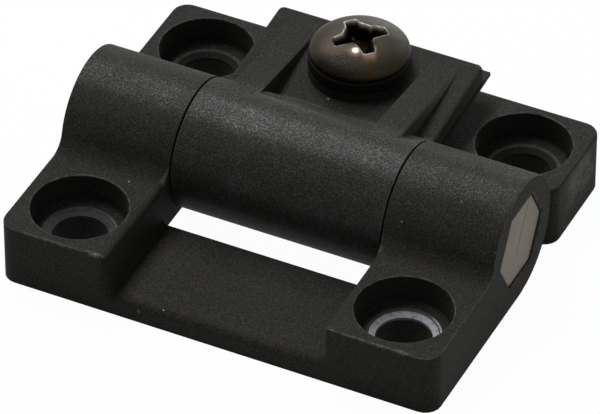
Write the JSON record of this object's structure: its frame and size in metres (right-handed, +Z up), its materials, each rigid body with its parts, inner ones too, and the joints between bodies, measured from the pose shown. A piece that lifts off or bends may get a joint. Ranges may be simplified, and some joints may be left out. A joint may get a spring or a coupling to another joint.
{
  "type": "adjustable friction hinge",
  "caption": "Black moulded surface-mount friction hinge with a hexagonal shaft, a split clamping barrel tightened by a cross-recess screw, and counterbored mounting holes.",
  "frame": {"origin": "on the mounting plane, in the middle of the open hinge's outline seen from above", "axes": "+X along the pin, +Y from the two-knuckle leaf towards the clamping leaf, +Z up out of the mounting plane"},
  "size_m": [0.067, 0.0564, 0.0214],
  "materials": {
    "black_moulding": "fine-grained matte black acetal",
    "natural_acetal": "plain bearing plastic, guessed because it is hidden",
    "cast_shaft": "dull warm-grey cast metal",
    "screw_steel": "aged bronze-grey plated steel",
    "washer_steel": "black coated",
    "nut_steel": "zinc plated"
  },
  "bodies": {
    "clamping_leaf": {"rear_leaf": "black_moulding", "captive_nut": "nut_steel"},
    "swinging_leaf": {"front_leaf": "black_moulding", "hex_shaft": "cast_shaft", "upper_friction_sleeve": "natural_acetal", "lower_friction_sleeve": "natural_acetal"},
    "washer": {"screw_washer": "washer_steel"},
    "screw": {"adjusting_screw": "screw_steel"}
  },
  "joints": [
    {"name": "main_hinge", "type": "hinge", "parent": "clamping_leaf", "child": "swinging_leaf", "pos_m": [0, 0.00045, 0.00959], "axis": [-1, 0, 0], "range_deg": [-95, 150]},
    {"name": "screw_lift", "type": "slide", "parent": "clamping_leaf", "child": "washer", "axis": [0, 0, 1], "range_m": [0, 0.00254]},
    {"name": "screw_turn", "type": "hinge", "parent": "washer", "child": "screw", "pos_m": [0, 0.0184, 0.018], "axis": [0, 0, 1], "range_deg": [0, 720]}
  ],
  "couplings": [
    {"joint": "screw_turn", "follows": "screw_lift", "rad_per_m": 4947.4}
  ]
}
